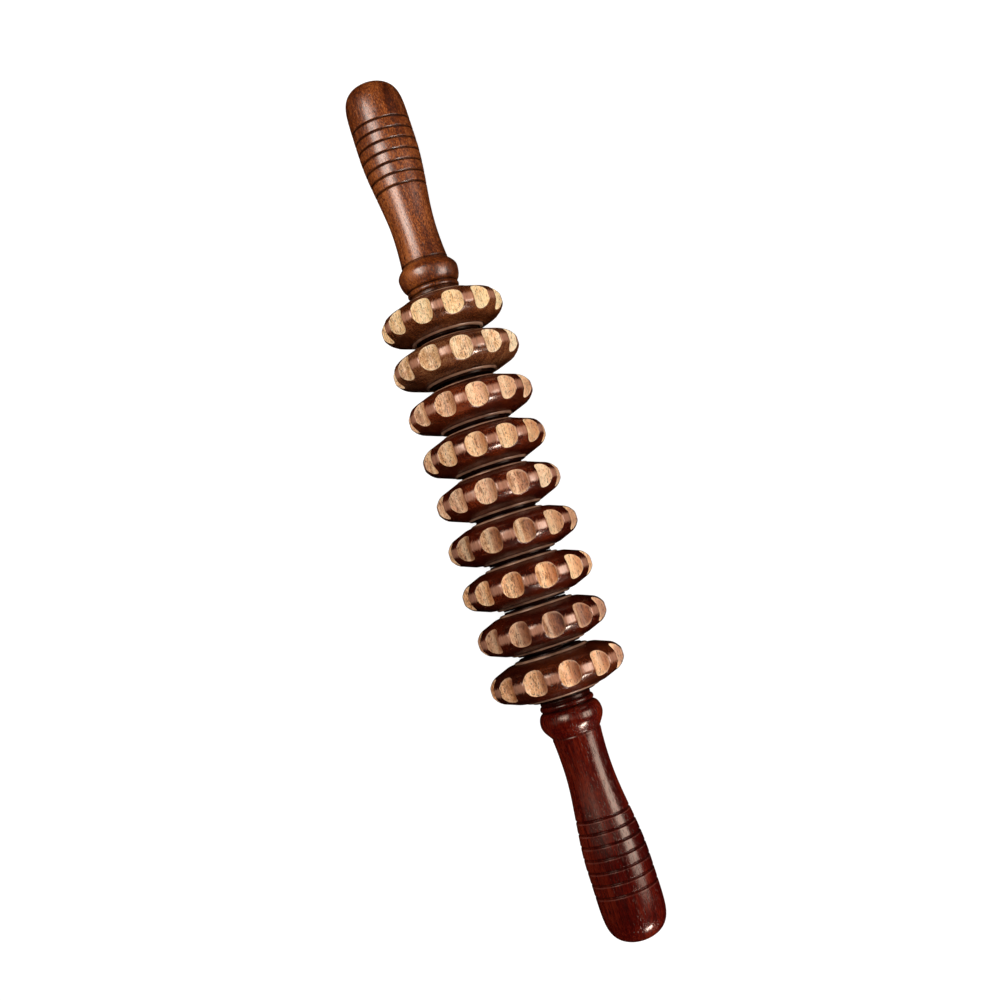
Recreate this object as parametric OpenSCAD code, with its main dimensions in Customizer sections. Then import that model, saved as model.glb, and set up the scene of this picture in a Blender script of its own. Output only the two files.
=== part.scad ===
// Wooden roller massager: two turned handles glued to one wooden axle dowel,
// with nine scalloped wooden rollers running loose on the dowel between them.
// The stick lies along X with its middle at the origin. Millimetres, +Z up.

/* [Handles] */
// Length of one handle from its inner face to the tip of its rounded end
handle_len = 103.6; // [98:0.1:130]
// Largest diameter of the handle, at the belly of the grip
belly_d = 27.2; // [24:0.1:34]
// Smallest diameter of the handle, at the waist
waist_d = 20.2; // [18:0.1:22]
// Distance from the inner face to the waist
waist_at = 30.2; // [24:0.1:34]
// Distance from the inner face to the belly
belly_at = 71.5; // [62:0.1:78]
// Roundness of the handle's end: 2 is an ellipse, higher is blunter
end_power = 7.2; // [2.5:0.1:8]
// Diameter over the large turned bead beside the rollers
bead_d = 27.4; // [25:0.1:32]
// Distance from the inner face to the widest place of the bead, left handle and right handle
bead_tops = [10.8, 9.2]; // [8.5:0.1:11.5]
// Diameter over the thin neck ring beside the bead
ring_d = 23.8; // [23:0.1:25]
// Diameter of the plain neck at the inner face
neck_d = 22.2; // [21:0.1:22.6]

/* [Grip grooves] */
// Number of grooves turned round each grip
groove_count = 7; // [3:1:8]
// Distance from the inner face to the first groove
groove_first = 50.8; // [46:0.1:54]
// Distance from one groove to the next
groove_pitch = 5.17; // [4:0.01:5.4]
// Width of a groove at the surface
groove_w = 1.3; // [0.6:0.1:2]
// Depth of a groove
groove_depth = 0.75; // [0.3:0.05:1.5]

/* [Rollers] */
// Diameter over the lands of each hand-turned roller, left to right
roller_ds = [55.4, 57.5, 56.4, 55.5, 55.6, 57.8, 57.8, 57, 58.8]; // [50:0.1:64]
// Width of a roller from hub face to hub face
roller_w = 19.8; // [19.5:0.1:22]
// Width over the two small raised lips where the flanks meet the hub
rim_w = 18.3; // [16.8:0.1:18.6]
// Diameter of those lips at their outer edge
rim_d = 30.6; // [30:0.1:33]
// Diameter of the plain hub boss
hub_d = 27.6; // [24:0.1:28]
// Radius of the rounded crown, seen in section
crown_r = 6.2; // [5:0.1:6.6]
// Lean of the flanks away from the roller's middle plane, in degrees
flank_lean = 21; // [19:0.5:23]
// Free space before each roller and after the last, left to right
gaps = [0.3, 0.45, 1.15, 0.3, 0.3, 0.3, 0.3, 0.3, 0.8, 0.4]; // [0.3:0.05:2]

/* [Scoops] */
// Number of scoops cut round each rim
scoop_count = 12; // [8:1:12]
// Radius of the round cutter that makes a scoop
scoop_r = 5.1; // [4:0.05:5.8]
// How far outside the rim the cutter's centre runs
scoop_out = 1.8; // [0:0.05:2.5]
// Angle of one scoop of each roller at rest, from +Z towards +Y, left to right
scoop_turns = [14, 8.5, 9, 24, 19.5, 11.5, 17.5, 9.5, 10]; // [0:0.5:30]

/* [Axle] */
// Diameter of the axle dowel
axle_d = 12; // [8:0.1:14]
// Length of dowel glued into each handle
socket_depth = 35; // [25:0.5:40]
// Radial play between the dowel and a roller's bore
running_play = 0.1; // [0.05:0.01:0.3]
// Radial glue gap between the dowel and a handle's socket
glue_gap = 0.05; // [0.02:0.01:0.1]

/* [Hidden] */
$fn = 96;

handle_wood = "#5b1d0d";
roller_wood = "#6d2c14";
dowel_wood = "#3d1c10";

// Sum of the values from the first up to index last
function sum_to(values, last) = last < 0 ? 0 : values[last] + sum_to(values, last - 1);

// The rollers and their gaps fill the space between the handles' inner faces
roller_count = len(roller_ds);
face_x = (roller_count * roller_w + sum_to(gaps, roller_count)) / 2;
function roller_x(i) = -face_x + sum_to(gaps, i) + (i + 0.5) * roller_w;

// ---- Handle, turned about Z with its inner face at z = 0 ----
// Outlines are lists of [radius, z]
belly_r = belly_d / 2;
waist_r = waist_d / 2;
bead_r = bead_d / 2;
ring_r = ring_d / 2;
neck_r = neck_d / 2;
cove_r = neck_r - 0.15;     // where the ring and bead meet
shoulder_r = waist_r + 0.6;
face_bevel = 0.3;
neck_len = 1.7;             // plain neck before the thin ring
ring_w = 2.5;
ring_end = neck_len + ring_w;
bead_end = 15.5;            // z where the bead runs out into the shoulder
bead_steps = 8;
line_w = 0.9;               // fine line turned between bead and grip
line_depth = 0.45;
grip_from = bead_end + line_w;
round_from = belly_at + 6;  // from here the points crowd towards the end
round_steps = 15;
plain_step = 2.4;           // spacing of the points before round_from
plain_gap = 0.8;            // least space between the two runs of points
groove_margin = 0.4;        // kept free of plain points beside a groove
tip_margin = 0.02;          // kept free of plain points at the tip
socket_spare = 1;           // empty socket beyond the dowel's end
cut_over = 1;               // the socket cutter starts this far outside the face

// Shape of the grip: shoulder, waist, belly and rounded end
function blend(u) = u * u * (3 - 2 * u);
function grip_r(z) =
    z < waist_at
        ? waist_r + (shoulder_r - waist_r) * pow((waist_at - z) / (waist_at - grip_from), 2) :
    z < belly_at
        ? waist_r + (belly_r - waist_r) * blend((z - waist_at) / (belly_at - waist_at)) :
    belly_r * sqrt(max(0, 1 - pow((z - belly_at) / (handle_len - belly_at), end_power)));

// The thin ring is a half-round, the bead rises steeply and runs out gently
ring_pts = [for (angle = [0 : 22.5 : 180])
    [cove_r + (ring_r - cove_r) * sin(angle), neck_len + ring_w * (1 - cos(angle)) / 2]];
function bead_up(top) = [for (angle = [15 : 12.5 : 90])
    [cove_r + (bead_r - cove_r) * sin(angle), top - (top - ring_end) * cos(angle)]];
function bead_down(top) = [for (k = [1 : bead_steps])
    [shoulder_r + (bead_r - shoulder_r) * cos(90 * k / bead_steps),
     top + (bead_end - top) * k / bead_steps]];

// Plain points of the grip, leaving out those in or close to a groove
function groove_z(k) = groove_first + k * groove_pitch;
function in_groove(z) =
    len([for (k = [0 : groove_count - 1])
        if (abs(z - groove_z(k)) < groove_w / 2 + groove_margin) k]) > 0;
body_z = [for (z = [grip_from : plain_step : round_from]) if (!in_groove(z)) z];
last_body_z = body_z[len(body_z) - 1];
round_z = [for (k = [0 : round_steps])
    round_from + (handle_len - round_from) * sin(90 / round_steps * k)];
end_z = [for (z = round_z)
    if (!in_groove(z) && z < handle_len - tip_margin && z > last_body_z + plain_gap) z];
plain_pts = [for (z = concat(body_z, end_z)) [grip_r(z), z]];

// Each groove is a V: edge, bottom, edge
groove_pts = [for (k = [0 : groove_count - 1], side = [-1, 0, 1])
    let (z = groove_z(k) + side * groove_w / 2)
    [grip_r(z) - (side == 0 ? groove_depth : 0), z]];

// Sorts outline points by z
function by_height(points) = len(points) <= 1 ? points :
    let (pivot = points[floor(len(points) / 2)][1])
    concat(by_height([for (point = points) if (point[1] < pivot) point]),
           [for (point = points) if (point[1] == pivot) point],
           by_height([for (point = points) if (point[1] > pivot) point]));

function handle_outline(bead_top) = concat(
    [[0, 0], [neck_r - face_bevel, 0], [neck_r, face_bevel]],
    ring_pts,
    bead_up(bead_top),
    bead_down(bead_top),
    [[shoulder_r - line_depth, bead_end + line_w / 2]],
    by_height(concat(plain_pts, groove_pts)),
    [[0, handle_len]]);

module handle(bead_top) {
    difference() {
        rotate_extrude() polygon(handle_outline(bead_top));
        translate([0, 0, -cut_over])
            cylinder(h = cut_over + socket_depth + socket_spare, d = axle_d + 2 * glue_gap);
    }
}

// ---- Roller, turned about Z with its middle plane at z = 0 ----
rim_r = rim_d / 2;
hub_r = hub_d / 2;
lip_z = rim_w / 2;
hub_z = roller_w / 2;
hub_bevel = 0.4;
crown_steps = 7;
lip_h = 0.95;       // height of a lip above the foot of the flank
foot_out = 1.6;     // least distance of the flank's foot outside rim_r
// Section of a lip, outside to inside: [radius beyond rim_r, depth below lip_z]
lip_section = [[1.3, lip_h], [1.05, 0.8], [0.95, 0.45], [0.6, 0.12], [0, 0], [-0.7, 0.08]];

// Outline of one side, from the crown's top to the hub face
function roller_side(land_r) =
    let (crown_at = land_r - crown_r,
         crown_end = 90 - flank_lean,
         flank_r = crown_at + crown_r * cos(crown_end),
         flank_z = crown_r * sin(crown_end),
         foot_z = lip_z - lip_h,
         foot_r = max(rim_r + foot_out, flank_r - (foot_z - flank_z) / tan(flank_lean)))
    concat(
        [for (k = [0 : crown_steps])
            let (angle = crown_end * k / crown_steps)
            [crown_at + crown_r * cos(angle), crown_r * sin(angle)]],
        [[foot_r, foot_z]],
        [for (point = lip_section) [rim_r + point[0], lip_z - point[1]]],
        // Small dip between the lip and the hub boss
        [[hub_r + 0.2, lip_z - 0.3], [hub_r, lip_z]],
        [[hub_r, hub_z - hub_bevel], [hub_r - hub_bevel, hub_z]]);

// Both sides, sharing the point at the crown's top
function roller_outline(land_r) =
    let (side = roller_side(land_r))
    concat([[0, -hub_z]],
           [for (k = [len(side) - 1 : -1 : 1]) [side[k][0], -side[k][1]]],
           side,
           [[0, hub_z]]);

// Roller i, counted from 0 at the left, in its place on the axle
module roller(i) {
    land_r = roller_ds[i] / 2;
    translate([roller_x(i), 0, 0]) rotate([0, 90, 0]) difference() {
        rotate_extrude() polygon(roller_outline(land_r));
        translate([0, 0, -roller_w])
            cylinder(h = 2 * roller_w, d = axle_d + 2 * running_play);
        for (k = [0 : scoop_count - 1])
            rotate([0, 0, 180 - scoop_turns[i] - k * 360 / scoop_count])
                translate([land_r + scoop_out, 0, -roller_w])
                    cylinder(h = 2 * roller_w, r = scoop_r);
    }
}

// ---- Nodes ----
module axle_dowel() color(dowel_wood) {
    half_len = face_x + socket_depth;
    axle_r = axle_d / 2;
    bevel = 0.8;
    rotate([0, 90, 0]) rotate_extrude()
        polygon([[0, -half_len], [axle_r - bevel, -half_len], [axle_r, -half_len + bevel],
                 [axle_r, half_len - bevel], [axle_r - bevel, half_len], [0, half_len]]);
}
module left_handle() color(handle_wood)
    translate([-face_x, 0, 0]) rotate([0, -90, 0]) handle(bead_tops[0]);
module right_handle() color(handle_wood)
    translate([face_x, 0, 0]) rotate([0, 90, 0]) handle(bead_tops[1]);
module roller_1() color(roller_wood) roller(0);
module roller_2() color(roller_wood) roller(1);
module roller_3() color(roller_wood) roller(2);
module roller_4() color(roller_wood) roller(3);
module roller_5() color(roller_wood) roller(4);
module roller_6() color(roller_wood) roller(5);
module roller_7() color(roller_wood) roller(6);
module roller_8() color(roller_wood) roller(7);
module roller_9() color(roller_wood) roller(8);

axle_dowel();
left_handle();
right_handle();
roller_1();
roller_2();
roller_3();
roller_4();
roller_5();
roller_6();
roller_7();
roller_8();
roller_9();
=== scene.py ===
"""A wooden massage-style roller stick: two turned handles and nine scooped rollers on a dowel.

The stick lies along X with its axis on the X axis: the left handle points to -X, the right one
to +X, and the rollers sit side by side between them. +Z is up. Pieces are worked out in
millimetres and written to the meshes in metres; the studio is in metres.
"""
import math
import random
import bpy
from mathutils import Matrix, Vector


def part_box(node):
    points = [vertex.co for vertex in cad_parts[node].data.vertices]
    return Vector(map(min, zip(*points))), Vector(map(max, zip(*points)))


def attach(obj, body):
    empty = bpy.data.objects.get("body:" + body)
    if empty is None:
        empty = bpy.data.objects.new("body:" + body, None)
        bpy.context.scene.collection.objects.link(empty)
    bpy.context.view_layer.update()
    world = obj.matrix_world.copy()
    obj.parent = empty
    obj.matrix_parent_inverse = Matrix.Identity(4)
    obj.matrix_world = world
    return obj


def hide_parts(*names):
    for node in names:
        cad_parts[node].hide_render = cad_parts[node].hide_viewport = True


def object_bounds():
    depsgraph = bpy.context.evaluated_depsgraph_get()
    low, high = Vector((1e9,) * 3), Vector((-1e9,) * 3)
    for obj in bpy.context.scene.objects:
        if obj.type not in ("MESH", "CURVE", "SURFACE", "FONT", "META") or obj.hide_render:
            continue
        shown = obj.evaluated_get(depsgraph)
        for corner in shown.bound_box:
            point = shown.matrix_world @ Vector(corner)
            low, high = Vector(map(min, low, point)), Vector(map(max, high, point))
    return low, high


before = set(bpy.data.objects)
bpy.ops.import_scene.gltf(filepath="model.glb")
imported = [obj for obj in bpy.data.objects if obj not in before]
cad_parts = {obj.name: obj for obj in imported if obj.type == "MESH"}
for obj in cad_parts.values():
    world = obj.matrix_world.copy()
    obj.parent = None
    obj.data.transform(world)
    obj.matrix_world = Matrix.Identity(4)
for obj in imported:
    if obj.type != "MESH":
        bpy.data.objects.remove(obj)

from types import SimpleNamespace

import bmesh
import bpy
from mathutils import Matrix, Vector, noise

MM = 0.001
CAD_LO, CAD_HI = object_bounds()


# ---------------------------------------------------------------------------
# Sizes read from the frame
# ---------------------------------------------------------------------------
def box_mm(node):
    low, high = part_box(node)
    return low * 1000.0, high * 1000.0


def largest_radius(node):
    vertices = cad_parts[node].data.vertices
    return max(math.hypot(v.co.y, v.co.z) for v in vertices) * 1000.0


AXLE_R = box_mm("axle_dowel")[1].y
LEFT_LO, LEFT_HI = box_mm("left_handle")
RIGHT_FACE_X = box_mm("right_handle")[0].x
HANDLE_LEN = LEFT_HI.x - LEFT_LO.x
BELLY_R = LEFT_HI.y


# ---------------------------------------------------------------------------
# Number and mesh helpers
# ---------------------------------------------------------------------------
def clamp(value):
    return min(1.0, max(0.0, value))


def smoothstep(value):
    return value * value * (3 - 2 * value)


def smooth_min(first, second, width):
    """The smaller value, with the crossover rounded over the given width."""
    overlap = max(width - abs(first - second), 0.0) / width
    return min(first, second) - overlap * overlap * width / 4.0


def fillet_path(corners, steps):
    """The path through (x, y, fillet radius) corners, each inner one rounded to an arc."""
    path = [Vector(corners[0][:2])]
    for i in range(1, len(corners) - 1):
        before, corner, after = (Vector(c[:2]) for c in corners[i - 1:i + 2])
        radius = corners[i][2]
        back, ahead = (before - corner).normalized(), (after - corner).normalized()
        angle = back.angle(ahead)
        if radius <= 0 or angle > math.pi - 0.02:
            path.append(corner)
            continue
        # An arc may use up to just under half of each neighbouring edge
        cut = min(radius / math.tan(angle / 2),
                  0.49 * (before - corner).length, 0.49 * (after - corner).length)
        radius = cut * math.tan(angle / 2)
        centre = corner + (back + ahead).normalized() * (radius / math.sin(angle / 2))
        start, end = corner + back * cut - centre, corner + ahead * cut - centre
        turn = start.angle_signed(end)
        for k in range(steps + 1):
            cos, sin = math.cos(-turn * k / steps), math.sin(-turn * k / steps)
            path.append(centre + Vector((start.x * cos - start.y * sin,
                                         start.x * sin + start.y * cos)))
    path.append(Vector(corners[-1][:2]))
    return path


def mesh_object(shape, name):
    mesh = bpy.data.meshes.new(name)
    shape.to_mesh(mesh)
    shape.free()
    piece = bpy.data.objects.new(name, mesh)
    bpy.context.scene.collection.objects.link(piece)
    return piece


def finish_piece(shape, node, body, materials):
    """Turn the shape into a smooth object that stands in for the frame's node."""
    bmesh.ops.recalc_face_normals(shape, faces=shape.faces)
    piece = mesh_object(shape, node + "_turned")
    piece.data.shade_smooth()
    for material in materials:
        piece.data.materials.append(material)
    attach(piece, body)
    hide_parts(node)


# ---------------------------------------------------------------------------
# Shader node helpers
# ---------------------------------------------------------------------------
def srgb(code):
    """The linear colour of a "#rrggbb" code."""
    parts = [int(code[i:i + 2], 16) / 255.0 for i in (1, 3, 5)]
    linear = [c / 12.92 if c <= 0.04045 else ((c + 0.055) / 1.055) ** 2.4 for c in parts]
    return (*linear, 1.0)


class Tree:
    """The node tree of a material or world. A value may be a constant or another node's output."""

    def __init__(self, owner, output="ShaderNodeOutputMaterial"):
        owner.use_nodes = True
        self.owner = owner
        self.tree = owner.node_tree
        self.tree.nodes.clear()
        self.output = self.node(output)

    def node(self, kind, inputs=None, **settings):
        node = self.tree.nodes.new(kind)
        for setting, value in settings.items():
            setattr(node, setting, value)
        for key, value in (inputs or {}).items():
            if isinstance(value, bpy.types.NodeSocket):
                self.tree.links.new(value, node.inputs[key])
            else:
                node.inputs[key].default_value = value
        return node

    def finish(self, shader):
        """Send the shader to the output and return the material or world."""
        self.tree.links.new(shader.outputs[0], self.output.inputs["Surface"])
        return self.owner

    def math(self, operation, *values, clamped=False):
        return self.node("ShaderNodeMath", dict(enumerate(values)),
                         operation=operation, use_clamp=clamped).outputs[0]

    def add(self, total, *terms):
        for term in terms:
            total = self.math("ADD", total, term)
        return total

    def times(self, value, factor):
        return self.math("MULTIPLY", value, factor)

    def centred(self, value, swing):
        """A 0 to 1 value moved to lie about zero and scaled to the given swing."""
        return self.times(self.math("SUBTRACT", value, 0.5), swing)

    def vector(self, operation, *values, **named):
        node = self.node("ShaderNodeVectorMath", {**dict(enumerate(values)), **named},
                         operation=operation)
        return node.outputs["Value" if operation == "LENGTH" else "Vector"]

    def mix(self, factor, first, second, blend="MIX"):
        node = self.node("ShaderNodeMix", {0: factor, 6: first, 7: second},
                         data_type="RGBA", blend_type=blend)
        return node.outputs[2]

    def ramp(self, factor, stops):
        """Colours or greys at (position, value) stops."""
        node = self.node("ShaderNodeValToRGB", {0: factor})
        elements = node.color_ramp.elements
        while len(elements) < len(stops):
            elements.new(0.5)
        for element, (position, value) in zip(elements, stops):
            element.position = position
            element.color = value if isinstance(value, tuple) else (value, value, value, 1.0)
        return node.outputs[0]

    def noise(self, point, scale, detail, rough, output="Fac"):
        inputs = {"Vector": point, "Scale": scale, "Detail": detail, "Roughness": rough}
        return self.node("ShaderNodeTexNoise", inputs).outputs[output]

    def stretched(self, point, per_mm, detail, rough, output="Fac"):
        """Noise with its own frequency along each axis."""
        return self.noise(self.vector("MULTIPLY", point, per_mm), scale=1.0,
                          detail=detail, rough=rough, output=output)

    def attribute(self, name):
        return self.node("ShaderNodeAttribute", attribute_name=name).outputs["Fac"]

    def bump(self, height, strength, distance):
        inputs = {"Strength": strength, "Distance": distance, "Height": height}
        return self.node("ShaderNodeBump", inputs).outputs[0]

    def coordinates(self, kind):
        return self.node("ShaderNodeTexCoord").outputs[kind]


# ---------------------------------------------------------------------------
# Wood materials
# ---------------------------------------------------------------------------
RING_PERIOD = 3.2  # mm between growth rings
PITH_AWAY = 70.0  # mm from the pith to the stick's axis
NEAR_BLACK = (0.004, 0.001, 0.0005, 1)
# Painted shade: near-black colour laid into grooves, necks, sockets and the gaps under the
# rollers' rims
PAINTED_SHADE_COLOUR = (0.006, 0.0016, 0.0010, 1)
# Worn crest of the rollers' lands, made paler also as a painted highlight
CREST_WEAR_AND_HIGHLIGHT_COLOUR = srgb("#c0866a")
BARE_PORE_COLOUR = srgb("#43230d")
# Colour of the painted highlight on one wall of each scoop
PAINTED_SHEEN_COLOUR = (0.92, 0.74, 0.50, 1)


def grain(tree, seed):
    """The wood's own coordinates in millimetres, its fibre and pores. The grain runs along X."""
    draw = random.Random(seed * 7919 + 13)
    roll = draw.uniform(0, 2 * math.pi)
    leans = [math.radians(draw.uniform(-1.5, 1.5)) for _ in range(2)]
    mapping = tree.node("ShaderNodeMapping", {
        "Rotation": (roll, *leans),
        "Scale": (1000, 1000, 1000),
        "Vector": tree.coordinates("Object"),
    })
    point = tree.vector("ADD", mapping.outputs[0], (draw.uniform(-400, 400), 0, 0))
    return SimpleNamespace(
        point=point,
        pith_z=draw.uniform(-20, 20),
        fibre=tree.stretched(point, per_mm=(0.055, 1.5, 1.5), detail=5.0, rough=0.62),
        fine=tree.stretched(point, per_mm=(0.16, 4.2, 4.2), detail=2.0, rough=0.5),
        pore=tree.stretched(point, per_mm=(0.30, 2.3, 2.3), detail=1.0, rough=0.4),
    )


def latewood(tree, wood):
    """The dark part of each growth ring, with the rings slowly warped."""
    slow = tree.stretched(wood.point, per_mm=(0.010, 0.05, 0.05), detail=2.0, rough=0.5,
                          output="Color")
    warp = tree.vector("SCALE", tree.vector("SUBTRACT", slow, (0.5, 0.5, 0.5)), Scale=9.0)
    warped = tree.vector("ADD", wood.point, warp)
    from_pith = tree.vector("ADD", warped, (0, PITH_AWAY, wood.pith_z))
    distance = tree.vector("LENGTH", tree.vector("MULTIPLY", from_pith, (0.0, 1.0, 1.0)))
    wobble = tree.stretched(wood.point, per_mm=(0.02, 0.22, 0.22), detail=3.0, rough=0.6)
    rings = tree.add(tree.math("DIVIDE", distance, RING_PERIOD), tree.times(wobble, 0.9))
    return tree.ramp(tree.math("FRACT", rings), [
        (0.0, 0.15), (0.08, 0.0), (0.62, 0.25), (0.90, 1.0), (0.97, 0.8), (1.0, 0.15)])


def lacquer(name, seed, stain, contrast=1.0, rough=0.30, coat_rough=0.09, coat=0.30,
            specular=0.95, tint=(1.0, 0.72, 0.56, 1.0), lip_colour="#b48a70",
            flecks=1.0, streaks=1.0, fleck_per_mm=0.42):
    """Stained wood under a gloss lacquer. stain is its dark, middle and light colours.

    flecks and streaks weigh the dashes and the fibre; fleck_per_mm is the dashes' frequency
    along the grain.
    """
    tree = Tree(bpy.data.materials.new(name))
    wood = grain(tree, seed)
    dark, middle, light = (srgb(code) for code in stain)
    patch = tree.stretched(wood.point, per_mm=(0.020, 0.09, 0.09), detail=3.0, rough=0.55)
    dash = tree.stretched(wood.point, per_mm=(fleck_per_mm, 2.1, 2.1), detail=3.0, rough=0.65)

    # Stain across the grain
    tone = tree.add(
        tree.centred(wood.fibre, swing=1.1 * streaks),
        tree.centred(patch, swing=1.5),
        tree.centred(dash, swing=1.5 * flecks),
        tree.add(tree.centred(wood.fine, swing=0.6),
                 tree.centred(latewood(tree, wood), swing=-0.14)))
    tone = tree.math("ADD", tree.times(tone, contrast), 0.48, clamped=True)
    colour = tree.ramp(tone, [(0.06, dark), (0.50, middle), (0.94, light)])
    pore = tree.ramp(wood.pore, [(0.62, 0.0), (0.69, 1.0)])
    colour = tree.mix(tree.times(pore, 0.55), colour, tree.mix(0.5, dark, NEAR_BLACK))

    # Painted-in marks: a worn crest strip that is also a painted highlight, painted shade in the
    # cavities, worn places, and pale lips from wear and a painted highlight
    streaky = tree.add(tree.times(wood.fibre, 0.5), tree.times(dash, 0.5))
    # Worn crest strip, also a painted highlight on the lands
    crest_wear_and_highlight = tree.times(tree.attribute("crest_wear_and_highlight"), tree.ramp(streaky, [(0.30, 0.30), (0.70, 0.85)]))
    colour = tree.mix(crest_wear_and_highlight, colour, CREST_WEAR_AND_HIGHLIGHT_COLOUR)
    # Painted shade: the mark in the cavities darkens grooves, necks, sockets and the gaps under
    # the rims
    cavity_shade = tree.attribute("painted_cavity_shade")
    colour = tree.mix(tree.times(cavity_shade, 0.92), colour, PAINTED_SHADE_COLOUR)
    worn = tree.ramp(wood.fibre, [(0.40, 0.10), (0.62, 0.65)])
    colour = tree.mix(tree.times(tree.attribute("wear"), worn), colour, light)
    # Pale lips: worn lacquer together with a painted highlight
    lip_rub_and_highlight = tree.ramp(patch, [(0.35, 0.35), (0.65, 0.95)])
    colour = tree.mix(tree.times(tree.attribute("lip"), lip_rub_and_highlight), colour, srgb(lip_colour))

    # Gloss, dulled in the cavities, over a surface bump and a softer coat bump
    mottle = tree.stretched(wood.point, per_mm=(0.10, 0.30, 0.30), detail=3.0, rough=0.6)
    exposed = tree.math("SUBTRACT", 1.0, tree.times(cavity_shade, 0.88))
    relief = tree.add(tree.times(wood.fibre, 0.6), tree.times(pore, -0.7),
                      tree.times(dash, 0.5))
    wave = tree.stretched(wood.point, per_mm=(0.22, 0.5, 0.5), detail=3.0, rough=0.55)
    coat_relief = tree.add(
        tree.times(wave, 0.6),
        tree.add(tree.times(pore, -0.28), tree.times(wood.fine, 0.16)))
    return tree.finish(tree.node("ShaderNodeBsdfPrincipled", {
        "Base Color": colour,
        "Roughness": tree.add(rough - 0.08, tree.times(mottle, 0.18)),
        "Specular IOR Level": tree.times(exposed, specular),
        "Specular Tint": tint,
        "Coat Weight": tree.times(exposed, coat),
        "Coat Roughness": tree.add(coat_rough - 0.03, tree.times(mottle, 0.07)),
        "Coat IOR": 1.5,
        "Normal": tree.bump(relief, strength=0.5, distance=0.00010),
        "Coat Normal": tree.bump(coat_relief, strength=0.5, distance=0.00010),
    }))


def bare_wood(name, seed, tones, painted_wall_shade, shade_reach, painted_sheen):
    """Bare wood inside the scoops: pale, mottled, with short dark flecks.

    tones are its pale, tan and brown colours. The next colour is multiplied in as painted shade
    on the wall at each scoop's higher angle, the number after it is how far that shade runs
    in, and the last is how strong a painted highlight on the opposite wall is.
    """
    tree = Tree(bpy.data.materials.new(name))
    wood = grain(tree, seed)
    pale, tan, brown = (srgb(code) for code in tones)
    dash = tree.stretched(wood.point, per_mm=(0.85, 2.2, 2.2), detail=3.0, rough=0.70)
    blotch = tree.stretched(wood.point, per_mm=(0.24, 0.40, 0.40), detail=3.0, rough=0.6)

    # Mottled ground with pinkish patches; tint adds each scoop's random tone and its painted light
    # and shade
    tone = tree.add(
        tree.centred(wood.fibre, swing=0.55),
        tree.centred(blotch, swing=1.0),
        tree.add(tree.centred(dash, swing=1.25), tree.centred(wood.fine, swing=0.35)),
        tree.times(tree.attribute("tint"), 0.13))
    tone = tree.math("ADD", tree.times(tone, 1.5), 0.54, clamped=True)
    colour = tree.ramp(tone, [(0.10, brown), (0.46, tan), (0.90, pale)])
    pink = tree.stretched(wood.point, per_mm=(0.30, 0.55, 0.55), detail=2.0, rough=0.5)
    pinker = tree.mix(1.0, colour, (1.0, 0.80, 0.76, 1), "MULTIPLY")
    colour = tree.mix(tree.ramp(pink, [(0.50, 0.0), (0.64, 0.55)]), colour, pinker)

    # Painted shade on one wall, a painted highlight on the opposite wall and a pale painted
    # highlight along the edge
    ragged = tree.add(tree.times(blotch, 0.5), tree.times(dash, 0.5))
    shaded_wall = tree.add(
        tree.attribute("sheen_to_shade"),
        tree.centred(ragged, swing=1.3),
        tree.add(shade_reach, tree.times(tree.attribute("tint"), -0.12)))
    shaded_wall = tree.ramp(shaded_wall, [(0.32, 0.0), (0.50, 0.55), (0.86, 1.0)])
    colour = tree.mix(shaded_wall, colour, tree.mix(1.0, colour, (*painted_wall_shade, 1.0), "MULTIPLY"))
    # Painted highlight on the wall at each scoop's lower angle
    sheen_highlight = tree.add(tree.attribute("sheen_to_shade"), tree.centred(blotch, swing=0.35))
    sheen_highlight = tree.ramp(sheen_highlight, [(0.12, 0.0), (0.22, 1.0), (0.34, 1.0), (0.42, 0.0)])
    colour = tree.mix(tree.times(sheen_highlight, painted_sheen), colour, tree.mix(0.5, pale, PAINTED_SHEEN_COLOUR))
    # Painted highlight: paler colour along the scoop's rounded edge
    colour = tree.mix(tree.times(tree.attribute("edge"), 0.40), colour, pale)

    # Pores and specks
    pore = tree.ramp(wood.pore, [(0.60, 0.0), (0.68, 1.0)])
    speck = tree.stretched(wood.point, per_mm=(1.0, 2.7, 2.7), detail=1.0, rough=0.4)
    speck = tree.ramp(speck, [(0.62, 0.0), (0.67, 1.0)])
    marks = tree.math("MAXIMUM", tree.times(pore, 0.40), tree.times(speck, 0.85))
    colour = tree.mix(marks, colour, BARE_PORE_COLOUR)

    tooling = tree.stretched(wood.point, per_mm=(0.12, 1.0, 1.0), detail=2.0, rough=0.5)
    relief = tree.add(
        tree.times(wood.fibre, 0.5),
        tree.times(marks, -1.0),
        tree.add(tree.times(tooling, 0.8), tree.times(dash, 0.8)))
    return tree.finish(tree.node("ShaderNodeBsdfPrincipled", {
        "Base Color": colour,
        "Roughness": tree.add(0.44, tree.times(dash, 0.20)),
        "Specular IOR Level": 0.45,
        "Coat Weight": 0.12,
        "Coat Roughness": 0.28,
        "Normal": tree.bump(relief, strength=0.85, distance=0.00020),
    }))


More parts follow.
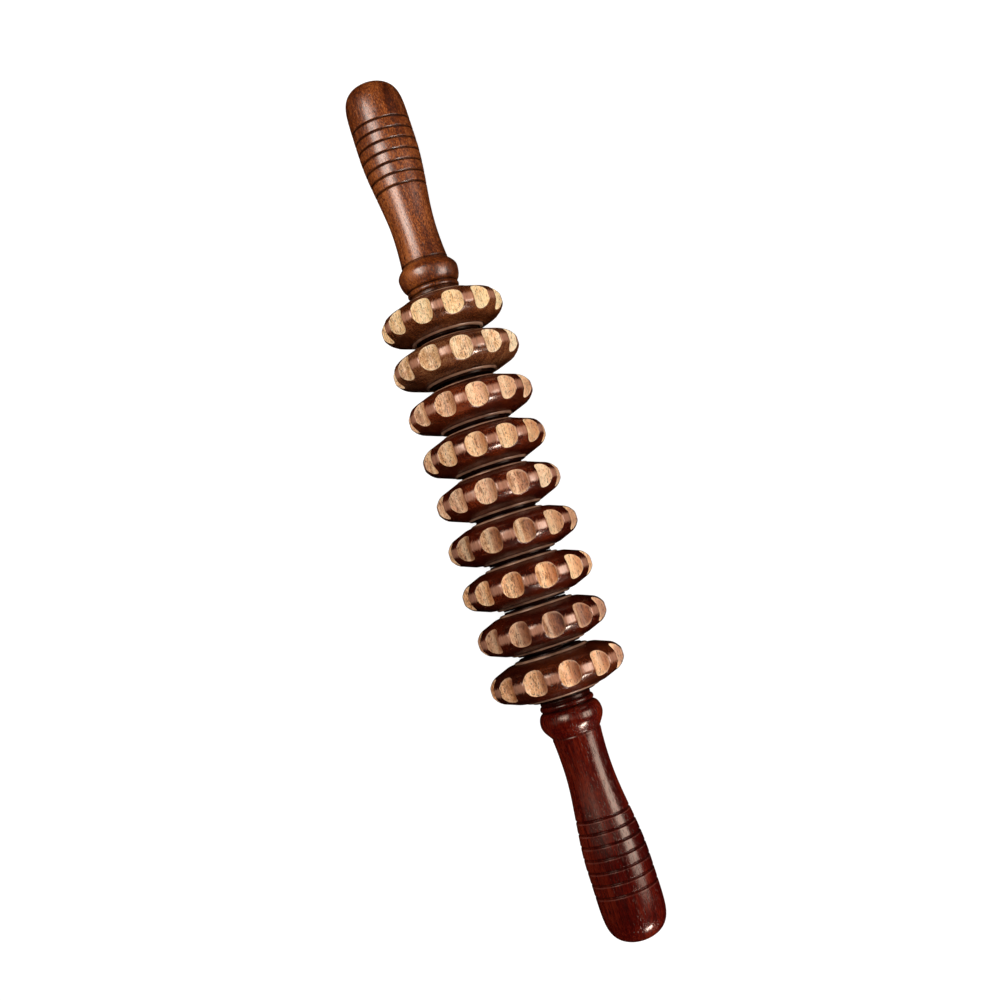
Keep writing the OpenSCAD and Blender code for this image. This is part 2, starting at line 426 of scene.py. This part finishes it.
# ---------------------------------------------------------------------------
# Handles: a turned outline swept round X, with the dowel's socket inside.
# Places along a handle are measured from its inner face, the one towards the rollers.
# ---------------------------------------------------------------------------
HANDLE_SIDES = 144
NECK_R, NECK_ROUND = 11.1, 0.35
RING_R, RING_AT, RING_HALF = 11.9, 2.95, 1.28
COVE_R = 10.95
BEAD_R, BEAD_FROM, BEAD_END = 13.7, 4.38, 15.5
SHOULDER_R, GRIP_FROM = 10.7, 16.4
WAIST_R, WAIST_AT, BELLY_AT = 10.1, 30.2, 71.5
TIP_LEN = 7  # the end of the grip, which gets its own closer stations
SOCKET_R, SOCKET_END = AXLE_R + 0.05, 36.0
GROOVES = [50.8 + 5.17 * k for k in range(7)]
GROOVE_STEPS = (0.12, 0.25, 0.38, 0.5, 0.6, 0.7, 0.8, 0.92, 1.15, 1.5)

# The line between bead and grip: (past the bead's end, radius change, painted shade)
BEAD_LINE = [
    (0.16, -0.14, 0.8), (0.33, -0.32, 1.0), (0.47, -0.40, 1.0), (0.62, -0.30, 1.0),
    (0.80, -0.04, 0.8), (1.0, 0.06, 0.4), (1.3, 0.0, 0.1),
]


def grip_radius(along):
    if along < WAIST_AT:
        rise = (WAIST_AT - along) / (WAIST_AT - GRIP_FROM)
        return WAIST_R + (SHOULDER_R - WAIST_R) * rise ** 2
    if along < BELLY_AT:
        swell = smoothstep((along - WAIST_AT) / (BELLY_AT - WAIST_AT))
        return WAIST_R + (BELLY_R - WAIST_R) * swell
    past = (along - BELLY_AT) / (HANDLE_LEN - BELLY_AT)
    return BELLY_R * math.sqrt(max(0.0, 1 - past ** 7.2))


def groove_cut(along):
    """Depth and painted shade of the turned grooves at a place along the handle."""
    away = [abs(along - groove) for groove in GROOVES]
    depth = sum(0.70 * max(0.0, 1.0 - math.sqrt(d * d + 0.012) / 0.66) for d in away)
    dark = sum(max(0.0, 1.0 - (d / 0.80) ** 2) for d in away)
    return depth, min(1.0, dark)


def grip_stations():
    """Places along the grip: every millimetre, closer at the grooves and round the tip."""
    tip_from = HANDLE_LEN - TIP_LEN
    every_mm = [BEAD_END + 1.9 + k for k in range(200)]
    places = [z for z in every_mm
              if z < tip_from and all(abs(z - groove) > 1.9 for groove in GROOVES)]
    steps = [-step for step in GROOVE_STEPS] + [0, *GROOVE_STEPS]
    places += [groove + step for groove in GROOVES for step in steps]
    places += [tip_from + TIP_LEN * math.sin(math.radians(90 * k / 22)) for k in range(23)]
    return [z for z in sorted(places) if z < HANDLE_LEN - 1e-6]


def handle_outline(bead_top, line, groove_painted_shade):
    """(along, radius, painted shade) points from the inner face's rim almost to the tip.

    bead_top is where the large bead is widest, line the strength of the line behind it, both its
    dip and its painted shade; the last argument is how much painted shade the grooves get.
    """
    points = [(0.0, 6.5, 0.9), (0.0, 8.5, 0.9), (0.0, NECK_R - 0.45, 0.9)]
    for degrees in (0, 30, 60, 90):
        a = math.radians(degrees)
        points.append((NECK_ROUND - NECK_ROUND * math.cos(a),
                       NECK_R - NECK_ROUND + NECK_ROUND * math.sin(a), 0.8))
    points += [(0.9, NECK_R, 0.7), (1.45, NECK_R - 0.05, 0.8), (1.65, NECK_R - 0.12, 0.9)]
    for k in range(13):  # thin neck ring
        a = math.radians(12 + 156 * k / 12)
        foot = COVE_R - 0.1
        points.append((RING_AT - RING_HALF * math.cos(a), foot + (RING_R - foot) * math.sin(a),
                       0.30 if 2 < k < 10 else 0.7))
    points.append((4.28, COVE_R + 0.02, 1.0))
    for k in range(17):  # large bead, the side towards the rollers
        a = math.radians(4 + 86 * k / 16)
        points.append((bead_top - (bead_top - BEAD_FROM) * math.cos(a),
                       COVE_R + (BEAD_R - COVE_R) * math.sin(a), max(0.0, 0.9 - k * 0.2)))
    for k in range(1, 19):  # large bead, the side towards the grip
        part = k / 18
        foot = SHOULDER_R - 0.05
        points.append((bead_top + (BEAD_END - bead_top) * part,
                       foot + (BEAD_R - foot) * math.cos(math.pi / 2 * part),
                       max(0.0, (part - 0.80) / 0.20) * 0.7 * line))
    for past, change, dark in BEAD_LINE:
        along = BEAD_END + past
        radius = SHOULDER_R + change * line if past < 1.2 else grip_radius(along) + 0.03
        points.append((along, radius, dark * line))
    for along in grip_stations():
        depth, dark = groove_cut(along)
        points.append((along, grip_radius(along) - depth, dark * groove_painted_shade))
    return points


def build_handle(node, direction, face_x, seed, material, bead_top, line, groove_painted_shade, lip_rub_and_highlight):
    """direction is +1 for a grip towards +X; the last argument is how pale the grooves' lips are,
    as worn lacquer and a painted highlight.
    """
    socket = [(SOCKET_END, 0.0, 1.0), (SOCKET_END, SOCKET_R * 0.6, 1.0)]
    socket += [(SOCKET_END * part, SOCKET_R, 1.0) for part in (1, 0.6, 0.25)]
    socket += [(0.3, SOCKET_R, 1.0), (0.0, SOCKET_R + 0.25, 1.0)]
    outline = handle_outline(bead_top, line, groove_painted_shade)
    shape = bmesh.new()
    cavity_shade, wear, lip = (shape.verts.layers.float.new(key) for key in ("painted_cavity_shade", "wear", "lip"))
    rows = []
    for i, (along, radius, dark) in enumerate(socket + outline + [(HANDLE_LEN, 0.0, 0.0)]):
        x = (face_x + direction * along) * MM
        if radius == 0:
            centre = shape.verts.new((x, 0, 0))
            centre[cavity_shade] = dark
            rows.append([centre])
            continue
        lip_away = min(abs(along - groove - 0.78) for groove in GROOVES)
        row = []
        for k in range(HANDLE_SIDES):
            a = 2 * math.pi * k / HANDLE_SIDES
            cos, sin = math.cos(a), math.sin(a)
            turned = radius
            if i >= len(socket) and radius > 7:
                # Hand-turned surface: slow waviness of a few hundredths of a millimetre
                place = Vector((along * 0.07 + seed * 9.1, cos * 1.2, sin * 1.2))
                turned = radius + 0.055 * noise.noise(place) - 0.055
            vertex = shape.verts.new((x, turned * sin * MM, turned * cos * MM))
            uneven = noise.noise(Vector((along * 0.25, cos * 3, sin * 3 + seed)))
            vertex[cavity_shade] = dark
            # Pale groove lips: worn lacquer together with a painted highlight
            vertex[lip] = lip_rub_and_highlight * max(0.0, 1.0 - lip_away / 0.34) * min(1.0, 0.75 + 0.6 * uneven)
            vertex[wear] = max(0.0, 0.25 + 0.5 * uneven) if 8.0 < along < 10.5 else 0.0
            row.append(vertex)
        rows.append(row)
    for near, far in zip(rows[:-1], rows[1:]):
        for k in range(HANDLE_SIDES):
            after = (k + 1) % HANDLE_SIDES
            if len(near) == 1:
                shape.faces.new((near[0], far[k], far[after]))
            elif len(far) == 1:
                shape.faces.new((near[k], near[after], far[0]))
            else:
                shape.faces.new((near[k], near[after], far[after], far[k]))
    finish_piece(shape, node, "stick", [material])


# ---------------------------------------------------------------------------
# Rollers: crown, flanks, sharp rims, hub bosses and bore, with twelve scoops.
# "side" is the distance along X from a roller's middle plane.
# ---------------------------------------------------------------------------
SCOOPS = 12
PITCH = 2 * math.pi / SCOOPS
SCOOP_R = 5.1
SCOOP_OUT = 1.8  # from the crest out to the centre of a scoop's circle
SCOOP_ROUND = 0.32  # rounding of a scoop's edge
CROWN_R = 6.2
FLANK_LEAN = 21  # degrees from the middle plane
FLANK = math.tan(math.radians(FLANK_LEAN))
CROWN_ARC = math.radians(90 - FLANK_LEAN)
RIM_SIDE, RIM_R = 9.15, 15.3
HUB_R = 13.8
BORE_R = AXLE_R + 0.1
FOOT_DROP = 5.75  # from the crest down to where the scooped part of the mesh begins
LAND_LIFT = 0.35  # rise of the cutting radius across the land between two scoops
SMOOTHING = 0.42  # blend between the flank and a scoop
HALF_FOLD = 0.21  # half width of the close stations at a scoop's end

# Mesh intervals round the roller: half a scoop, its rounded edge, half a land
ARC_STEPS, EDGE_STEPS, LAND_STEPS = 8, 3, 3
# Mesh intervals across it: upper flank, rounded edge, half of the scoop floor
FLANK_STEPS, FOLD_STEPS, FLOOR_STEPS = 5, 4, 4
FLOOR_FROM = FLANK_STEPS + FOLD_STEPS
LAND, SCOOP, EDGE = 0, 1, 2  # what a station round the roller lies on
ROLLER_LAYERS = ("painted_cavity_shade", "wear", "edge", "deep", "tint", "lip", "crest_wear_and_highlight", "sheen_to_shade")


class Section:
    """The roller's outline before scooping: a crown arc that runs into straight flanks."""

    def __init__(self, crest):
        self.crest = crest
        self.join_side = CROWN_R * math.sin(CROWN_ARC)
        self.join_radius = crest - CROWN_R + CROWN_R * math.cos(CROWN_ARC)
        self.foot_radius = crest - FOOT_DROP
        self.foot_side = self.side_at(self.foot_radius)

    def radius_at(self, side):
        side = abs(side)
        if side <= self.join_side:
            # The very top is nearly flat
            curve = smoothstep(clamp((side - 1.0) / 2.4))
            drop = CROWN_R - math.sqrt(CROWN_R * CROWN_R - side * side)
            return self.crest - drop * (0.12 + 0.88 * curve)
        return self.join_radius - (side - self.join_side) / FLANK

    def side_at(self, radius):
        if radius >= self.crest:
            return 0.0
        if radius <= self.join_radius:
            return self.join_side + (self.join_radius - radius) * FLANK
        inner, outer = 0.0, self.join_side
        for _ in range(40):
            middle = (inner + outer) / 2
            if self.radius_at(middle) > radius:
                inner = middle
            else:
                outer = middle
        return (inner + outer) / 2


def lower_outline(section, half_width):
    """(side, radius) points from the middle of the bore to just under the scoops."""
    angles = [math.radians(a) for a in (-48, -30, -12, 6, 24, 42, 58, 72, 84, 96)]
    rim = [(RIM_SIDE - 0.80 + 0.80 * math.cos(a), RIM_R + 1.05 * math.sin(a), 0)
           for a in angles]
    foot = (section.foot_side, section.foot_radius)
    flank_side = RIM_SIDE - 1.15
    corners = [  # side, radius, fillet
        (0.0, BORE_R, 0),
        (half_width, BORE_R, 0.35),
        (half_width, HUB_R, 0.35),
        (RIM_SIDE - 0.36, HUB_R, 0.12),
        (RIM_SIDE - 0.30, RIM_R - 1.0, 0.12),
        *rim,
        (RIM_SIDE - 0.97, RIM_R + 1.28, 0.10),
        (RIM_SIDE - 0.86, RIM_R + 2.1, 0.45),
        (flank_side, section.radius_at(flank_side), 4.0),
        (*foot, 0),
    ]
    path = fillet_path(corners, steps=3)[:-1]
    last = path[-1]
    return path + [last.lerp(Vector(foot), k / 5) for k in range(1, 6)]


def rim_shade_and_lip(side, radius):
    """Painted shade below the rim, in the gap between rollers, and a pale rim top, which is worn
    lacquer and a painted highlight.
    """
    dark = pale = 0.0
    if radius < RIM_R - 0.85:
        dark = 1.0
    elif radius < RIM_R + 1.12 and side > RIM_SIDE - 0.9:
        pale = clamp((radius - RIM_R + 0.85) / 0.5)
        dark = 1.0 - pale
    elif radius < RIM_R + 2.0:
        dark = 0.85 * (1 - (radius - RIM_R - 1.1) / 0.9)
    return {"painted_cavity_shade": max(0.0, dark), "lip": pale}


def scoop_stations(crest, scoop_r, out, shift):
    """(angle, radius, what it lies on) across one scoop pitch, seen along X."""
    centre = crest + out
    # Centre of the small circle that rounds the edge, inside the crest and outside the scoop
    round_x = (centre ** 2 + (crest - SCOOP_ROUND) ** 2 - (scoop_r + SCOOP_ROUND) ** 2)
    round_x /= 2 * centre
    round_y = math.sqrt((crest - SCOOP_ROUND) ** 2 - round_x * round_x)
    inward = Vector((centre - round_x, -round_y)).normalized()
    touch = Vector((round_x, round_y)) + inward * SCOOP_ROUND
    arc_end = math.atan2(touch.y, centre - touch.x)
    half = []
    for k in range(ARC_STEPS + 1):
        a = arc_end * k / ARC_STEPS
        x, y = centre - scoop_r * math.cos(a), scoop_r * math.sin(a)
        half.append((math.atan2(y, x), math.hypot(x, y), SCOOP))
    start, end = math.atan2(inward.y, inward.x), math.atan2(round_y, round_x)
    for k in range(1, EDGE_STEPS + 1):
        a = start + (end - start) * k / EDGE_STEPS
        x, y = round_x + SCOOP_ROUND * math.cos(a), round_y + SCOOP_ROUND * math.sin(a)
        half.append((math.atan2(y, x), math.hypot(x, y), EDGE if k < EDGE_STEPS else LAND))
    halves = []
    for sign in (-1, 1):
        stations = [(sign * a + shift, radius, zone) for a, radius, zone in half]
        edge, limit = stations[-1][0], sign * PITCH / 2
        for k in range(1, LAND_STEPS + 1):
            part = k / LAND_STEPS
            stations.append((edge + (limit - edge) * part, crest + LAND_LIFT * part, LAND))
        halves.append(stations)
    # The lowest station belongs to the neighbour, and both halves share the middle one
    return halves[0][-2:0:-1] + halves[1]


def roller_columns(index, crest, turn):
    """The stations all round a roller; each scoop is cut slightly differently."""
    draw = random.Random(500 + index)
    columns = []
    for scoop in range(SCOOPS):
        scoop_r = SCOOP_R + draw.uniform(-0.13, 0.10)
        out = SCOOP_OUT + draw.uniform(-0.16, 0.16)
        shift = math.radians(draw.uniform(-0.45, 0.45))
        tilt = math.tan(math.radians(draw.uniform(-2.2, 2.2)))
        tint = draw.uniform(-1, 1)
        base = math.radians(turn + 360.0 / SCOOPS * scoop)
        # Painted light and shade: paler about 62 degrees from +Z towards +Y, where the light
        # falls, darker about 58 degrees the other way, in shade
        lie = (math.degrees(base) + 180) % 360 - 180
        tint += 2.2 * max(0.0, 1 - abs(lie - 62) / 26) - 1.4 * max(0.0, 1 - abs(lie + 58) / 30)
        stations = scoop_stations(crest, scoop_r, out, shift)
        for k, (angle, radius, zone) in enumerate(stations):
            share = 1.0 if zone else max(0.0, 1.0 - abs(angle) / (PITCH / 2)) * 2.0
            columns.append(SimpleNamespace(
                base=base, even=-PITCH / 2 + PITCH * (k + 1) / len(stations), angle=angle,
                radius=radius, zone=zone, tilt=tilt * min(1.0, share), tint=tint))
    return columns


def upper_sides(section, column):
    """Side positions over the scooped part, from the +X foot to the -X foot."""
    if column.zone:
        fold = max(section.side_at(column.radius - 0.02), 0.7)
    else:
        fold = 0.7 + 1.9 * clamp((column.radius - section.crest) / LAND_LIFT)
    foot, outer, inner = section.foot_side, fold + HALF_FOLD, fold - HALF_FOLD
    sides = [foot + (outer - foot) * k / FLANK_STEPS for k in range(FLANK_STEPS)]
    sides += [outer - 2 * HALF_FOLD * k / FOLD_STEPS for k in range(FOLD_STEPS)]
    sides += [inner * (1 - k / FLOOR_STEPS) for k in range(FLOOR_STEPS)]
    return sides + [0.0] + [-side for side in reversed(sides)]


def upper_point(section, column, side, level, at_edge):
    """Radius, angle and marks; level counts stations up from the nearer foot."""
    lean = smoothstep(min(1.0, level / FLANK_STEPS))
    tilted = column.angle + column.tilt * side / section.crest
    angle = column.even + (tilted - column.even) * lean
    cut = column.radius if column.zone else column.radius + 0.25
    radius = smooth_min(section.radius_at(side), cut, SMOOTHING)
    depth = max(0.0, section.crest - radius) if column.zone else 0.0
    above_flank = column.zone and level >= FLANK_STEPS
    bordering = FLOOR_FROM - 1 <= level <= FLOOR_FROM
    on_fold = column.zone == EDGE or level < FLOOR_FROM
    return radius, angle, {
        # Painted highlight along the scoop's edge
        "edge": 1.0 if above_flank and (bordering or at_edge) else 0.0,
        "deep": min(1.0, depth / 3.3),
        "wear": 0.55 if above_flank and on_fold else 0.0,
        # Worn crest strip, also a painted highlight on the lands
        "crest_wear_and_highlight": 0.0 if column.zone == SCOOP else clamp((1.95 - abs(side)) / 0.45),
        # Place across the scoop that sets its painted shade and painted highlight
        "sheen_to_shade": clamp((math.degrees(angle) + 9.0) / 18.0),
    }


def build_roller(index, node, turn, materials):
    low, high = box_mm(node)
    centre_x = (low.x + high.x) / 2
    section = Section(largest_radius(node))
    lower = lower_outline(section, (high.x - low.x) / 2)
    columns = roller_columns(index, section.crest, turn)
    scoop_edge_r = max(column.radius for column in columns if column.zone == SCOOP)
    shape = bmesh.new()
    layers = {key: shape.verts.layers.float.new(key) for key in ROLLER_LAYERS}

    def add_vertex(side, radius, angle, marks):
        vertex = shape.verts.new(((centre_x + side) * MM, radius * math.sin(angle) * MM,
                                  radius * math.cos(angle) * MM))
        for key, value in marks.items():
            vertex[layers[key]] = value
        return vertex

    grid = []
    for column in columns:
        at_edge = abs(column.radius - scoop_edge_r) < 0.02
        even = column.base + column.even
        tint = {"tint": column.tint}
        # Up the +X side from the bore, over the top, and down the -X side
        loop = [add_vertex(p.x, p.y, even, {**rim_shade_and_lip(p.x, p.y), **tint})
                for p in lower[:-1]]
        sides = upper_sides(section, column)
        for j, side in enumerate(sides):
            level = min(j, len(sides) - 1 - j)
            radius, angle, marks = upper_point(section, column, side, level, at_edge)
            loop.append(add_vertex(side, radius, column.base + angle, {**marks, **tint}))
        loop += [add_vertex(-p.x, p.y, even, {**rim_shade_and_lip(p.x, p.y), **tint})
                 for p in reversed(lower[1:-1])]
        grid.append(loop)

    floor_from = len(lower) - 1 + FLOOR_FROM
    floor_to = floor_from + 2 * FLOOR_STEPS
    for i, loop in enumerate(grid):
        after = (i + 1) % len(grid)
        following = grid[after]
        in_scoop = columns[i].zone == SCOOP and columns[after].zone == SCOOP
        for j in range(len(loop)):
            above = (j + 1) % len(loop)
            face = shape.faces.new((loop[j], following[j], following[above], loop[above]))
            face.material_index = 1 if in_scoop and floor_from <= j < floor_to else 0
    finish_piece(shape, node, node, materials)


# ---------------------------------------------------------------------------
# The pieces
# ---------------------------------------------------------------------------
build_handle(
    "left_handle", direction=-1, face_x=LEFT_HI.x, seed=1, bead_top=10.8, line=0.75,
    groove_painted_shade=0.9, lip_rub_and_highlight=0.0,
    material=lacquer("lacquer_left_handle", 3, ("#341003", "#6c2c08", "#a45a26"),
                     contrast=1.15, tint=(1.0, 0.80, 0.70, 1), flecks=1.9, streaks=0.45,
                     fleck_per_mm=1.0))
build_handle(
    "right_handle", direction=1, face_x=RIGHT_FACE_X, seed=2, bead_top=9.2, line=0.35,
    groove_painted_shade=0.38, lip_rub_and_highlight=0.55,
    material=lacquer("lacquer_right_handle", 11, ("#240101", "#460502", "#74200c"),
                     rough=0.20, specular=0.64, coat=0.14, lip_colour="#94584a",
                     flecks=0.7, streaks=0.7))

# Each roller from -X: degrees from +Z towards +Y to its first scoop; lacquer dark, middle, light;
# bare wood pale, tan, brown; painted wall shade multiplier, painted shade extent, painted
# highlight strength
ROLLERS = [
    (14, ("#290d04", "#56250d", "#844c2a"),
     ("#f8dcaa", "#e4b47c", "#a67038"), (0.86, 0.77, 0.66), -0.36, 0.15),
    (8.5, ("#2e1208", "#66341a", "#92623e"),
     ("#fae0b8", "#e8bc8c", "#b07a46"), (0.90, 0.82, 0.74), -0.52, 0.05),
    (9, ("#220501", "#481405", "#742f12"),
     ("#f6d2a6", "#e6ae82", "#a26838"), (0.58, 0.40, 0.28), -0.27, 0.20),
    (24, ("#200401", "#420f03", "#6c270b"),
     ("#eec898", "#d29662", "#925a2c"), (0.66, 0.45, 0.31), -0.26, 0.40),
    (19.5, ("#200301", "#420e03", "#6c260b"),
     ("#eecaa0", "#d69e76", "#90582a"), (0.52, 0.32, 0.21), -0.28, 0.12),
    (11.5, ("#1e0201", "#3c0a02", "#66210a"),
     ("#e0b688", "#bc8a5c", "#7a461e"), (0.54, 0.29, 0.16), -0.12, 0.45),
    (17.5, ("#1e0201", "#3d0c02", "#641f08"),
     ("#fad4a2", "#e8ac76", "#9c5c26"), (0.54, 0.27, 0.12), -0.25, 0.30),
    (9.5, ("#1c0201", "#390a02", "#621f08"),
     ("#dcae84", "#b27850", "#6c3c1e"), (0.42, 0.23, 0.14), -0.02, 0.30),
    (10, ("#200401", "#3d1004", "#662a0e"),
     ("#f4caa0", "#e6a872", "#9a581e"), (0.30, 0.09, 0.01), -0.22, 0.10),
]
for index, (turn, stain, tones, painted_wall_shade, shade_reach, painted_sheen) in enumerate(ROLLERS):
    node = f"roller_{index + 1}"
    build_roller(index, node, turn, [
        lacquer("lacquer_" + node, 20 + index, stain, rough=0.22, coat=0.26),
        bare_wood("bare_wood_" + node, 20 + index, tones, painted_wall_shade, shade_reach, painted_sheen),
    ])

axle_material = lacquer("stained_axle_dowel", 41, ("#170603", "#2b0e07", "#4a2012"),
                        rough=0.5, coat_rough=0.3, coat=0.1, specular=0.3)
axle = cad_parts["axle_dowel"]
if axle.material_slots:
    axle.material_slots[0].material = axle_material
else:
    axle.data.materials.append(axle_material)

# ---------------------------------------------------------------------------
# Studio (metres): plain pale floor, soft lights, camera
# ---------------------------------------------------------------------------
FLOOR_HALF, FLOOR_CELLS = 6.0, 24
FLOOR_GAP = 0.0002  # between the stick's lowest point and the floor


def floor_paint():
    """Pale grey to the light; darker but glowing evenly to the camera."""
    tree = Tree(bpy.data.materials.new("studio_floor_paint"))
    seen = tree.node("ShaderNodeLightPath").outputs["Is Camera Ray"]
    speckle = tree.noise(tree.coordinates("Object"), scale=60.0, detail=2.0, rough=0.5)
    pale = tree.mix(speckle, (0.60, 0.60, 0.60, 1), (0.63, 0.63, 0.63, 1))
    paint = tree.node("ShaderNodeBsdfDiffuse",
                      {"Color": tree.mix(seen, pale, (0.30, 0.30, 0.30, 1))})
    glow = tree.node("ShaderNodeEmission", {"Strength": tree.times(seen, 0.84)})
    return tree.finish(tree.node("ShaderNodeAddShader",
                                 {0: paint.outputs[0], 1: glow.outputs[0]}))


def build_floor():
    shape = bmesh.new()
    places = [-FLOOR_HALF + 2 * FLOOR_HALF * i / FLOOR_CELLS for i in range(FLOOR_CELLS + 1)]
    grid = [[shape.verts.new((x, y, CAD_LO.z - FLOOR_GAP)) for y in places] for x in places]
    for near, far in zip(grid[:-1], grid[1:]):
        for j in range(FLOOR_CELLS):
            shape.faces.new((near[j], far[j], far[j + 1], near[j + 1]))
    floor = mesh_object(shape, "studio_floor")
    floor.data.materials.append(floor_paint())
    floor.visible_glossy = False


def build_world():
    """Even white light; the lacquer mirrors a tent, bright overhead and dark towards +-X."""
    tree = Tree(bpy.data.worlds.new("studio_world"), "ShaderNodeOutputWorld")
    bpy.context.scene.world = tree.owner

    def step(value, start, end):
        return tree.node("ShaderNodeMapRange", {0: value, 1: start, 2: end},
                         interpolation_type="SMOOTHSTEP").outputs[0]

    direction = tree.node("ShaderNodeSeparateXYZ", {0: tree.coordinates("Generated")})
    off_middle = tree.math("ABSOLUTE", tree.add(direction.outputs[0], 0.10))
    across = tree.math("SUBTRACT", 1.0, step(off_middle, start=0.07, end=0.20))
    overhead = step(direction.outputs[2], start=-0.05, end=0.45)
    even = tree.node("ShaderNodeBackground", {"Color": (1, 1, 1, 1), "Strength": 0.26})
    tent = tree.node("ShaderNodeBackground", {
        "Color": (1.0, 0.84, 0.76, 1),
        "Strength": tree.times(tree.times(across, overhead), 0.40),
    })
    glossy = tree.node("ShaderNodeLightPath").outputs["Is Glossy Ray"]
    tree.finish(tree.node("ShaderNodeMixShader",
                          {0: glossy, 1: even.outputs[0], 2: tent.outputs[0]}))


def area_light(name, place, aim, size, power, colour=(1, 1, 1)):
    """A rectangular light; aim is its rotation."""
    data = bpy.data.lights.new(name, "AREA")
    data.shape = "RECTANGLE"
    data.size, data.size_y = size
    data.energy = power
    data.color = colour
    light = bpy.data.objects.new(name, data)
    light.location = place
    light.rotation_euler = aim
    bpy.context.scene.collection.objects.link(light)
    return light


def aim_at(place, target):
    return (Vector(target) - Vector(place)).to_track_quat("-Z", "Y").to_euler()


def from_axes(*axes):
    """The rotation whose local X, Y and Z are the given axes."""
    return Matrix(axes).transposed()


def build_lights():
    place = (0.14, 0.80, 0.50)
    area_light("key_right", place, aim_at(place, target=(0.06, 0.0, 0.0)),
               size=(0.50, 0.52), power=5.4, colour=(1.0, 0.97, 0.94))
    place = (-0.38, -0.43, 0.80)
    fill = area_light("fill_left", place, aim_at(place, target=(-0.18, 0.0, 0.0)),
                      size=(0.60, 0.62), power=1.25, colour=(1.0, 0.96, 0.92))
    fill.data.spread = math.radians(60)
    # Its long side lies along Y
    along, back = Vector((0, 1, 0)), Vector((0.956, 0.0, 0.293))
    area_light("spark", (0.98, 0.42, 0.30),
               from_axes(along, back.cross(along), back).to_euler(),
               size=(0.34, 0.13), power=7.0)


def build_camera():
    """Looks down on the stick, with +X towards the top of the picture."""
    data = bpy.data.cameras.new("photo_camera")
    camera = bpy.data.objects.new("photo_camera", data)
    bpy.context.scene.collection.objects.link(camera)
    data.sensor_width = 36.0
    data.lens = 43.808
    data.shift_x, data.shift_y = 0.02136, -0.06602
    data.clip_start, data.clip_end = 0.01, 50.0
    right = (0.30521, 0.95142, -0.04065)
    up = (-0.94339, 0.30791, 0.12330)
    back = (0.12983, 0.00072, 0.99154)
    place = Matrix.Translation((0.042705, 0.0, 0.529147))
    camera.matrix_world = place @ from_axes(right, up, back).to_4x4()
    bpy.context.scene.camera = camera


build_floor()
build_world()
build_lights()
build_camera()

view = bpy.context.scene.view_settings
view.view_transform = "Standard"
view.look = "None"
view.exposure = 0.0
view.gamma = 1.0

bpy.context.view_layer.update()
